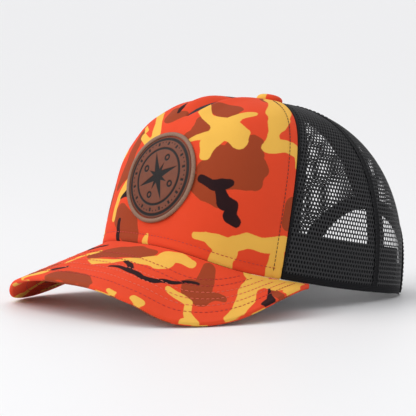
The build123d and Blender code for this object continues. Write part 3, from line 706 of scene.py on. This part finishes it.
def net_panel(name, start, end, keep, node, sign):
    """Cells on a staggered lattice over a panel between two seams, laid out from its middle line."""
    climb = np.linspace(0, PANEL_TOP, CLIMBS)
    share = np.linspace(0, 1, LATTICE)
    azimuth = start(climb) + (end(climb) - start(climb)) * share[:, None]
    points = skin(azimuth, np.broadcast_to(climb, azimuth.shape))
    width, rise = run_along(points), run_along(points[LATTICE // 2])
    width = width - width[-1:] / 2
    lookup = np.stack([np.interp(share * 2 - 1, width[:, k] / width[-1, k], azimuth[:, k])
                       for k in range(CLIMBS)])
    i, j = np.meshgrid(np.arange(-44, 45), np.arange(0, 64), indexing="ij")
    centres = np.stack([(i + 0.5 * (j % 2)) * NET_PITCH, (j + 0.7) * NET_ROW], -1).reshape(-1, 2)
    centres = centres[centres[:, 1] < rise[-1]]

    def settle(spots):
        """Bring lattice points to azimuth and climb by looking both lengths up in the panel's table."""
        at = np.clip(np.interp(spots[..., 1], rise, np.arange(float(CLIMBS))), 0, CLIMBS - 1.001)
        below, part = at.astype(int), at - at.astype(int)
        edges = width[-1, below] * (1 - part) + width[-1, below + 1] * part
        climb_here = climb[below] * (1 - part) + climb[below + 1] * part
        u = np.clip((spots[..., 0] / edges + 1) * (LATTICE // 2), 0, LATTICE - 1.001)
        left, frac = u.astype(int), u - u.astype(int)
        row = lambda k: lookup[k, left] * (1 - frac) + lookup[k, left + 1] * frac
        return row(below) * (1 - part) + row(below + 1) * part, climb_here, edges - np.abs(spots[..., 0])

    corners = centres[:, None, :] + cell_line[None]
    where, height, margin = settle(corners)
    inside = (margin > 0.3) & (corners[..., 1] > 0.4) & (corners[..., 1] < rise[-1] - 0.5)
    centres = centres[(inside & keep(skin(where, height))).all(1)]
    spots = np.concatenate([centres[:, None] + rim for rim in (cell_line, hole_line, cell_line)], 1)
    where, height, _ = settle(spots)
    depths = 0.32 + np.repeat([-YARN, 0.0, YARN], 12)
    cells = place(crown(where * sign, height, np.broadcast_to(depths, where.shape)))
    ring = np.arange(12)
    nxt = (ring + 1) % 12
    quads = np.concatenate([np.stack([ring, nxt, nxt + 12, ring + 12], 1),
                            np.stack([ring + 12, nxt + 12, nxt + 24, ring + 24], 1)])[:, ::sign]
    faces = (quads[None] + np.arange(len(centres))[:, None, None] * 36).reshape(-1, 4)

    # neighbours share their corners: points with one place on the lattice and one layer become one
    layer = np.tile(np.repeat([0, 1, 2], 12), len(centres))[:, None]
    keys = np.concatenate([np.round(spots.reshape(-1, 2) * 1000).astype(np.int64), layer], 1)
    _, first, merged = np.unique(keys, axis=0, return_index=True, return_inverse=True)
    merged = merged.ravel()
    outline = merged.reshape(-1, 36)
    line = np.stack([outline[:, k] for k in (ring, nxt, nxt + 24, ring + 24)], -1).reshape(-1, 4)
    low, high = line[:, :2].min(1), line[:, :2].max(1)
    _, back, count = np.unique(low * 10**7 + high, return_inverse=True, return_counts=True)
    edge_walls = line[count[back.ravel()] == 1][:, ::-sign]
    made = make_mesh(name, cells.reshape(-1, 3)[first], np.concatenate([merged[faces], edge_walls]),
                     net_yarn, sharp=80)
    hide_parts(node)
    area = np.zeros(len(made.data.polygons), np.float32)
    made.data.polygons.foreach_get("area", area)


def outside_opening(points):
    """True where a point of the rear lies outside the arched opening, seen along the crown."""
    x, z = points[..., 0], np.maximum(points[..., 2] - ARCH_STRAIGHT, 0)
    return (x / (ARCH_HALF_WIDTH + 1.5)) ** 2 + (z / (ARCH_HEIGHT - ARCH_STRAIGHT + 1.5)) ** 2 > 1


def everywhere(points):
    """True for each point."""
    return np.ones(points.shape[:-1], bool)


for side, sign in (("left", 1), ("right", -1)):
    net_panel(f"side_net_{side}", beside(front_seam, 0.2), beside(side_seam, -0.2), everywhere,
              f"side_mesh_{side}", sign)
    net_panel(f"rear_net_{side}", beside(side_seam, 0.2), beside(rear_seam, -0.2), outside_opening,
              f"rear_mesh_{side}", sign)

# %% [markdown]
# ## Seam folds on the net
#
# Where two nets meet, their edges are turned under and sewn flat, which makes a narrow dense ridge
# on the outside. The same fold runs beside the front panel and along the base.

# %% Folded net edges
def fold(name, edges, bottom, top, depth, thickness=0.55, across_count=7, up_count=90):
    """A strip of dense tape on the outside of the net, which rides with it."""
    strip(name, *edges, bottom, top, depth, thickness, tape_cloth, "mesh", None, across_count, up_count)


FOLD_TOP = PANEL_TOP - 0.02
for side, sign in (("left", 1), ("right", -1)):
    front_edges = [on_side(beside(front_seam, reach), sign) for reach in (0.2, 2.6)][::sign]
    fold(f"front_fold_{side}", front_edges, 0.002, PANEL_TOP, 0.12)
    fold(f"side_fold_{side}", both_edges(side_seam, 2.2, sign), 0.002, FOLD_TOP, -0.2)
    fold(f"base_fold_{side}", hem_edges(sign), 0.001, float(climb_at(4.2)), -0.2, 0.7, 90, 7)
fold("rear_fold", both_edges(rear_seam, 3.2, 1), float(climb_at(56)), FOLD_TOP, -0.25, up_count=60)

# %% [markdown]
# ## The bound opening
#
# The rear opening is an arch, edged with a folded tape. Its path lies on the crown: each point is
# given by how far it is across and up, and the crown's azimuth there is found by halving. The tape's
# section, a fold that wraps the net's edge, is carried along the path.

# %% Binding
def rear_spot(x, z):
    """The azimuth and climb of the rear point at a width and height, by halving the azimuth."""
    def climb_there(azimuth):
        dip = base_edge(azimuth)[..., 2]
        return np.arcsin(np.clip((z - dip) / (HEIGHT - dip), 0, 0.999))

    azimuth = halved(np.full(x.shape, pi / 2), np.full(x.shape, pi),
                     lambda turn: skin(turn, climb_there(turn))[..., 0] > np.abs(x))
    return np.where(x < 0, -azimuth, azimuth), climb_there(azimuth)


def loft(name, loops, finish, values=None, joined=False):
    """Closed loops carried along a path, which ends in fans of quads or is joined to its own start."""
    count, around = loops.shape[:2]
    i, j = np.meshgrid(np.arange(count - (not joined)), np.arange(around), indexing="ij")
    k, n = (j + 1) % around, (i + 1) % count
    faces = np.stack([i * around + j, i * around + k, n * around + k, n * around + j], -1).reshape(-1, 4)
    if not joined:
        half = np.arange(around // 2 - 1)
        cap = np.stack([half, half + 1, around - 2 - half, around - 1 - half], 1)
        faces = np.concatenate([faces, cap[:, ::-1], cap + (count - 1) * around])
    return make_mesh(name, loops.reshape(-1, 3), faces, finish, values)


section = np.array([(7.5, -0.25), (7.5, -0.75), (5, -0.85), (2, -0.85), (0.2, -0.8), (-0.6, -0.55),
                    (-0.95, 0.0), (-0.95, 0.8), (-0.6, 1.35), (0.2, 1.6), (2, 1.65), (5, 1.65), (7.5, 1.55),
                    (7.5, 1.1)])
arch_turn = np.linspace(0, pi, 150)
post = np.linspace(0.6, ARCH_STRAIGHT, 14)[:-1]
bow = ARCH_HEIGHT - ARCH_STRAIGHT
path_x = ARCH_HALF_WIDTH * np.concatenate([post * 0 + 1, np.cos(arch_turn), post * 0 - 1])
path_z = np.concatenate([post, ARCH_STRAIGHT + bow * np.sin(arch_turn), post[::-1]])
normal = unit(np.stack([np.cos(arch_turn) / ARCH_HALF_WIDTH, np.sin(arch_turn) / bow], 1))
normal = np.concatenate([post[:, None] * 0 + (1.0, 0.0), normal, post[:, None] * 0 + (-1.0, 0.0)])


def on_arch(offset, depth):
    """Points at an offset outward from the opening's edge, and a depth below the crown's skin."""
    x, z = path_x + normal[:, 0] * offset, np.maximum(path_z + normal[:, 1] * offset, 0.3)
    return crown(*rear_spot(x, z), depth)


loops = place(np.stack([on_arch(offset, depth) for offset, depth in section], 1))
steps = run_along(loops[:, 5]) * 1000
binding = loft("opening_binding", loops, tape_cloth,
               {"weft": np.repeat(steps, len(section)), "warp": np.tile(section[:, 0], len(loops))})
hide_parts("arch_binding")


# %% [markdown]
# ## Stitches
#
# A stitch is a short thread that dips into the cloth at both ends. One template of five
# six-sided rings is carried to every place along a seam at once, turned to the seam's direction.

# %% Stitches along a line
def stitches(name, path, outward, pitch, length, radius, finish, slot="black_tape"):
    """Capsules of a length at a pitch along a path of points in metres, proud of the cloth by half."""
    far = run_along(path)
    middle = np.arange(pitch, far[-1] * 1000 - pitch, pitch) * 0.001
    at = lambda s, line: np.stack([np.interp(s, far, line[:, k]) for k in range(3)], -1)
    centre, up_way = at(middle, path), unit(at(middle, outward))
    along = unit(at(middle + length * 0.0004, path) - at(middle - length * 0.0004, path))
    side_way = np.cross(along, up_way)
    ring = np.array([-0.5, -0.36, 0.0, 0.36, 0.5]) * length
    thin = np.array([0.35, 0.85, 1.0, 0.85, 0.35]) * radius
    lift = np.array([-0.6, 0.1, 0.35, 0.1, -0.6]) * radius
    angle = np.arange(6) * pi / 3
    lateral = thin[:, None] * np.cos(angle)
    vertical = thin[:, None] * np.sin(angle) + lift[:, None]
    points = (centre[:, None, None] + along[:, None, None] * (ring[:, None] * 0.001)[None, :, :, None]
              + side_way[:, None, None] * lateral[None, :, :, None] * 0.001
              + up_way[:, None, None] * vertical[None, :, :, None] * 0.001)
    i, j = np.meshgrid(np.arange(4), np.arange(6), indexing="ij")
    k = (j + 1) % 6
    quads = np.stack([i * 6 + j, i * 6 + k, i * 6 + 6 + k, i * 6 + 6 + j], -1).reshape(-1, 4)
    caps = np.array([(5, 4, 1, 0), (4, 3, 2, 1), (24, 25, 28, 29), (25, 26, 27, 28)])
    quads = np.concatenate([quads, caps])
    faces = (quads[None] + np.arange(len(centre))[:, None, None] * 30).reshape(-1, 4)
    make_mesh(name, points.reshape(-1, 3), faces, finish, sharp=80)


def crown_line(azimuth, climb, depth):
    """A line of points on the crown and its outward directions there, in metres."""
    line = place(crown(azimuth, climb, depth))
    return line, unit(place(crown(azimuth, climb, depth - 1.0)) - line)


def sew(name, azimuth, climb, depth, pitch, length, radius, finish, slot="black_tape"):
    """Stitches along a line of azimuths and climbs on the crown."""
    stitches(name, *crown_line(azimuth, climb, depth), pitch, length, radius, finish, slot)


seam_level = climb_at_length(np.linspace(3, climbed[-1] - 9, 200))
for side, sign in (("left", 1), ("right", -1)):
    inset = walk(front_seam(seam_level), seam_level, -TOPSTITCH_INSET)
    sew(f"front_topstitch_{side}", sign * inset, seam_level, -0.05, 2.7, 2.1, 0.26, dark_thread)
    for row, offset in enumerate((-2.2, 2.2)):
        line = walk(SIDE_SEAM, seam_level, offset)
        sew(f"side_topstitch_{side}_{row}", sign * line, seam_level, -0.3, 3.0, 2.3, 0.24, net_yarn)
around = np.linspace(-1, 1, 300) * (float(front_seam(0.055)) - 0.02)
low = np.full(300, float(climb_at_length(BRIM_STITCH_UP)))
sew("brim_seam_stitch", around, low, -0.05, 3.0, 2.2, 0.26, red_thread, "camo_fabric")
rear_level = np.linspace(float(climb_at(63)), PANEL_TOP - 0.05, 120)
for row, offset in enumerate((-2.2, 2.2)):
    sew(f"rear_topstitch_{row}", walk(pi, rear_level, offset), rear_level, -0.3, 3.0, 2.3, 0.24, net_yarn)
edge_out = place(on_arch(5.6, -0.85))
stitches("binding_stitch", edge_out, unit(place(on_arch(5.6, -1.85)) - edge_out), 2.8, 2.1, 0.24, net_yarn)

# %% [markdown]
# ## The brim
#
# A stiff board between two printed covers, sewn through in curved rows. Its top is ruled with
# straight lines from the crown to a drooping outer edge, so a grid of those lines is the whole
# shape. Top and underside curl round to meet in the middle of the edge. Each row of stitching
# presses a groove.

# %% Brim surface
BRIM_HALF_WIDTH, BRIM_LENGTH, BRIM_SQUARENESS, BRIM_THICKNESS = 105.0, 140.5, 3.3, 3.4
CORNER = radians(89)
corner_point = base_edge(CORNER)
edge_heights = np.array([-28.5, -34.0, -42.5, -34.6, corner_point[2]])


def edge_droop(turn):
    """A smooth cubic through the edge heights, which are a quarter of the side apart."""
    before, after = edge_heights[1], 2 * edge_heights[4] - edge_heights[3]
    padded = np.concatenate([[before], edge_heights, [after]])
    index = np.minimum((turn / (pi / 8)).astype(int), 3)
    t = turn / (pi / 8) - index
    p0, p1, p2, p3 = (padded[index + k] for k in range(4))
    start, end, gain = (p2 - p0) / 2, (p3 - p1) / 2, p2 - p1
    return p1 + start * t + (3 * gain - 2 * start - end) * t**2 + (start + end - 2 * gain) * t**3


def brim_edge(azimuth):
    """A superellipse ahead of the corners, narrowed to the crown's width at its back."""
    across = np.abs(np.sin(azimuth) / BRIM_HALF_WIDTH) ** BRIM_SQUARENESS
    radius = (across + np.abs(np.cos(azimuth) / BRIM_LENGTH) ** BRIM_SQUARENESS) ** (-1 / BRIM_SQUARENESS)
    forward = radius * np.cos(azimuth)
    narrowing = 1 - (1 - corner_point[0] / BRIM_HALF_WIDTH) * (1 - forward / BRIM_LENGTH) ** 4
    slope = np.tan(np.minimum(np.abs(azimuth), radians(89.9))) * BRIM_LENGTH / BRIM_HALF_WIDTH
    turn = np.arctan(slope ** (BRIM_SQUARENESS / 2))
    return np.stack([radius * np.sin(azimuth) * narrowing, corner_point[1] - forward, edge_droop(turn)], -1)


def brim_skin(azimuth, reach):
    """Straight lines from the crown's base edge, at reach 0, to the brim's edge, at reach 1."""
    azimuth, reach = np.broadcast_arrays(np.asarray(azimuth, float), np.asarray(reach, float))
    inner = base_edge(azimuth / (pi / 2) * CORNER)
    return inner + (brim_edge(azimuth) - inner) * reach[..., None]


def brim(azimuth, reach, depth):
    """A point at a depth below the brim's top, along the cross product of its two slopes."""
    azimuth, reach, depth = np.broadcast_arrays(azimuth, reach, depth)
    step = radians(0.5)
    level, side = np.clip(reach, 0.05, 0.95), np.clip(azimuth, radians(-87), radians(87))
    across = brim_skin(side + step, level) - brim_skin(side - step, level)
    outward = brim_skin(side, level + 0.02) - brim_skin(side, level - 0.02)
    return brim_skin(azimuth, reach) - unit(np.cross(outward, across)) * depth[..., None]


even = np.linspace(radians(-88.4), radians(88.4), 3000)
edge_length = run_along(brim_edge(even))
brim_azimuth = np.interp(np.linspace(0, edge_length[-1], 330), edge_length, even)
ruled = np.linalg.norm(brim_skin(brim_azimuth, 1.0) - brim_skin(brim_azimuth, 0.0), axis=-1)
STITCH_ROWS = (11.5, 18.5, 25.5, 32.5, 39.5, 46.5)
curl = np.linspace(0, 1, 8)[1:] * pi / 2
half = BRIM_THICKNESS / 2
flat = np.linspace(0, 1, 64)
flat_reach = flat * (1 - half / ruled[:, None]) + 0.3 / ruled[:, None] * (1 - flat)
curl_reach = 1 - half / ruled[:, None] * (1 - np.sin(curl))
reach = np.concatenate([flat_reach, curl_reach], 1)
from_edge = (1 - reach) * ruled[:, None]
sink = np.concatenate([np.zeros((330, 64)), np.broadcast_to(half * (1 - np.cos(curl)), (330, 7))], 1)
rows = sum(np.exp(-((from_edge - row) / 0.8) ** 2) for row in STITCH_ROWS)
pucker = 0.10 * np.sin(np.interp(brim_azimuth, even, edge_length)[:, None] * 2.1) * np.clip(rows, 0, 1)
pressed = (0.30 * rows + pucker) * ramp(2.0, 8.0, ruled[:, None] - from_edge)
spread = np.broadcast_to(brim_azimuth[:, None], reach.shape)
top_plan = brim_skin(spread, reach)
top_skin = brim(spread, reach, sink + pressed)
under_skin = brim(spread, reach, BRIM_THICKNESS - sink - 0.6 * pressed)
top_ink = inks(brim_brown, brim_yellow, brim_black, top_plan[..., 0], top_plan[..., 1])
under_ink = inks(brim_brown, brim_yellow, brim_black, -top_plan[..., 0] + 6, top_plan[..., 1] + 4)
brim_ink = {key: np.stack([top_ink[key], under_ink[key]]) for key in top_ink}
points = np.concatenate([place(top_skin).reshape(-1, 3), place(under_skin).reshape(-1, 3)])
brim_made = make_mesh("brim_covers", points, closed_faces(*reach.shape)[:, ::-1], camouflage,
                      brim_ink)
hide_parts("brim_cover_top", "brim_cover_under", "brim_edge_fold")
for index, row in enumerate(STITCH_ROWS):
    keep = (np.abs(brim_azimuth) < radians(86)) & (ruled > row + 3.0)
    for face, depth, sign in (("top", 0.12, 1.0), ("under", BRIM_THICKNESS - 0.05, -1.0)):
        line_azimuth, line_reach = brim_azimuth[keep], 1 - row / ruled[keep]
        line = place(brim(line_azimuth, line_reach, depth))
        outward = place(brim(line_azimuth, line_reach, depth - sign)) - line
        # Three rows on the brim's top get the lighter copy of the red thread as painted highlight; the
        # underside keeps the plain red thread.
        thread = highlight_red_thread if index in (1, 2, 3) and face == "top" else red_thread
        stitches(f"brim_row_{face}_{index}", line, outward, 3.4, 2.3, 0.27, thread, "camo_fabric")

# %% [markdown]
# ## The badge
#
# A round of leather, burnt with a compass star inside a dial, and edged with close overlock
# thread. The leather is a grid of rings and spokes laid on the panel, so that the burnt lines are
# pressed into the mesh itself, and a distance in an attribute darkens them.

# %% Badge
BADGE_RADIUS, BADGE_ASIDE, badge_climb = 30.5, 7.0, float(climb_at(45.0))
BADGE_UP = float(np.interp(badge_climb, levels, climbed))
badge_azimuth = float(walk(0.0, badge_climb, BADGE_ASIDE))


def on_badge(across, up, depth):
    """A spot on the panel at a distance across and up from the badge's middle, at a depth."""
    climb = climb_at_length(BADGE_UP + up)
    return place(crown(walk(badge_azimuth, climb, across + 1e-4), climb, depth))


OUTER_RING, INNER_RING, TICKS_END, PAIR = 25.2, 18.6, 23.2, (28, 118)


def burnt(x, y):
    """How far a spot is outside the burnt drawing: two rings, a dial of ticks and a compass star."""
    r, angle = np.hypot(x, y), np.arctan2(y, x)
    marks = np.minimum(np.abs(r - OUTER_RING) - 0.95, np.abs(r - INNER_RING) - 0.80)
    for number, start, width in ((48, 22.4, 0.42), (16, 20.9, 0.80)):
        step = 2 * pi / number
        off = np.abs((angle + step / 2) % step - step / 2) * r - width
        beyond = np.abs(r - (start + TICKS_END) / 2) - (TICKS_END - start) / 2
        marks = np.minimum(marks, np.maximum(off, beyond))
    for first, long, wide in ((0, 17.4, 2.9), (45, 9.5, 2.3)):
        for turn in (radians(first + degrees) for degrees in PAIR):
            u, v = np.abs(x * cos(turn) + y * sin(turn)), np.abs(-x * sin(turn) + y * cos(turn))
            marks = np.minimum(marks, (u / long + v / wide - 1) * wide)
    for turn in (radians(degrees + half + 45) for degrees in PAIR for half in (0, 180)):
        away = np.hypot(x - 13.2 * cos(turn), y - 13.2 * sin(turn))
        marks = np.minimum(marks, np.abs(away - 1.7) - 0.65)
    return marks


BADGE_RINGS, BADGE_SPOKES = 120, 300
radius = np.linspace(0.02, 27.2, BADGE_RINGS)[:, None]
angle = np.linspace(0, 2 * pi, BADGE_SPOKES, endpoint=False)[None, :]
bx, by = radius * np.cos(angle), radius * np.sin(angle)
mark = burnt(bx, by)
pressed = 0.3 * np.clip(0.5 - mark / 0.5, 0, 1)
leather_top = on_badge(bx, by, -1.55 + pressed + 0.5 * ramp(25.8, 27.4, radius))
leather_back = on_badge(bx, by, -0.25)
leather = Finish("burnt_leather", {"Specular IOR Level": 0.22})
burn = (0.5 - leather.attribute("mark") * 1.8).clamped()
grain = leather.noise(260.0, 5.0)
hide = leather.blend(grain * 0.8, (0.125, 0.036, 0.018, 1), (0.215, 0.066, 0.034, 1))
leather.surface(leather.blend(burn, hide, (0.006, 0.004, 0.004, 1)), 0.46 + grain * 0.2,
                leather.noise(1400.0, 3.0) + grain * 0.6, 0.0001)
disc = make_mesh("badge_leather", np.concatenate([leather_top, leather_back]).reshape(-1, 3),
                 disc_faces(BADGE_RINGS, BADGE_SPOKES), leather.material,
                 {"mark": np.concatenate([mark, mark])})
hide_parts("patch_leather")

THREADS = 190
angle = np.linspace(0, 2 * pi, THREADS * 6, endpoint=False)[:, None]
section_turn = np.linspace(0, 2 * pi, 14, endpoint=False)[None, :]
ridge = 0.10 * np.abs(np.sin(THREADS / 2 * angle + 0.9 * np.cos(section_turn)))
radius = BADGE_RADIUS - 1.45 + (1.35 + ridge) * np.cos(section_turn)
lift = -1.2 - (1.0 + ridge) * np.sin(section_turn)
ring = on_badge(radius * np.cos(angle), radius * np.sin(angle), lift)
merrow = loft("badge_overlock", ring, edge_thread, joined=True)
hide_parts("patch_border")

# %% [markdown]
# ## The button
#
# A pressed shell covered with a circle of the print, drawn in with eight small pleats. It is
# a grid of rings and spokes whose height follows a flattened dome.

# %% Button
BUTTON_RADIUS, BUTTON_HEIGHT, BUTTON_RINGS, BUTTON_SPOKES = 8.6, 4.5, 26, 96
outline = np.linspace(0, pi / 2, BUTTON_RINGS)[:, None]
angle = np.linspace(0, 2 * pi, BUTTON_SPOKES, endpoint=False)[None, :]
dome_radius = BUTTON_RADIUS * np.sin(outline) ** 0.9
pleat = 0.16 * np.abs(np.sin(4 * angle + 0.3)) ** 0.5 * ramp(3.0, 8.0, dome_radius)
dome_height = 0.1 + (BUTTON_HEIGHT + pleat - 0.16) * np.cos(outline) ** 0.75
bx, by = dome_radius * np.cos(angle), dome_radius * np.sin(angle)
dome = np.stack([bx, by + BUTTON_BACK, HEIGHT + 0.25 + dome_height], -1)
dome[0, :, :2] = (0, BUTTON_BACK) + 0.02 * np.stack([np.cos(angle[0]), np.sin(angle[0])], 1)
under = dome * (1, 1, 0) + (0, 0, HEIGHT + 0.25)
button_ink = inks([[(9, 9, 2), (12, 4, 3)]], [[(-9, -3, 3.5), (-3, -6, 4.5), (3, -10, 3)]],
                  [[(-8, 8, 1.5), (-4, 9, 2)]], np.concatenate([bx, bx]), np.concatenate([by, by]))
button = make_mesh("button_cover", place(np.concatenate([dome, under])).reshape(-1, 3),
                   disc_faces(BUTTON_RINGS, BUTTON_SPOKES), camouflage, button_ink)
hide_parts("button_shell")

# %% [markdown]
# ## Stage
#
# A pale seamless floor, even light from the sky, a wide soft sun overhead and one soft lamp in
# front, and a long lens set low at the wearer's left front.

# %% Stage and light
def turned(thing, direction):
    """A lamp or camera turned so that its own -Z looks along a direction."""
    thing.rotation_euler = direction.to_track_quat("-Z", "Y").to_euler()


FLOOR_REACH = 25.0
floor_mesh = bpy.data.meshes.new("floor")
floor_mesh.from_pydata([(x, y, 0.0) for x in (-FLOOR_REACH, FLOOR_REACH) for y in (-FLOOR_REACH, FLOOR_REACH)],
                       [], [(0, 2, 3, 1)])
floor = new_object("floor", floor_mesh)
paper = Finish("paper", {"Base Color": (0.85, 0.85, 0.855, 1), "Roughness": 0.5, "Specular IOR Level": 0.35})
floor_mesh.materials.append(paper.material)
world = bpy.data.worlds.new("studio")
bpy.context.scene.world = world
world.use_nodes = True
sky = world.node_tree.nodes["Background"]
sky.inputs["Color"].default_value, sky.inputs["Strength"].default_value = (0.985, 0.985, 1.0, 1), 0.77
sun = bpy.data.lights.new("overhead", "SUN")
sun.energy, sun.angle = 1.06, radians(50)
turned(new_object("overhead", sun), Vector((0.55, 0.45, -1.0)))
lamp = bpy.data.lights.new("key", "AREA")
lamp.energy, lamp.size = 7, 0.7
key = new_object("key", lamp)
key.location = (-0.35, -1.5, 1.0)
turned(key, Vector((0, -0.02, 0.07)) - key.location)
bpy.context.scene.view_settings.view_transform = "Standard"
print("lights:", [light.name for light in bpy.data.lights])

# %% Camera
AZIMUTH, ELEVATION, DISTANCE, PER_MM, PICTURE = radians(50.9), radians(5.65), 2.150, 1.543, 416
back = Vector((sin(AZIMUTH) * cos(ELEVATION), -cos(AZIMUTH) * cos(ELEVATION), sin(ELEVATION)))
right = (-back).cross(Vector((0, 0, 1))).normalized()
upward = right.cross(-back)
target = Vector(opening["pos_m"]) + Vector((0, -0.020, 0.038)) - right * 0.00474 + upward * 0.00125
lens = bpy.data.cameras.new("camera")
lens.sensor_width, lens.lens = 36.0, 36.0 * PER_MM * DISTANCE * 1000 / PICTURE
camera = new_object("camera", lens)
camera.location = target + back * DISTANCE
turned(camera, -back)
bpy.context.scene.camera = camera
print("camera lens", round(lens.lens, 1), "mm")
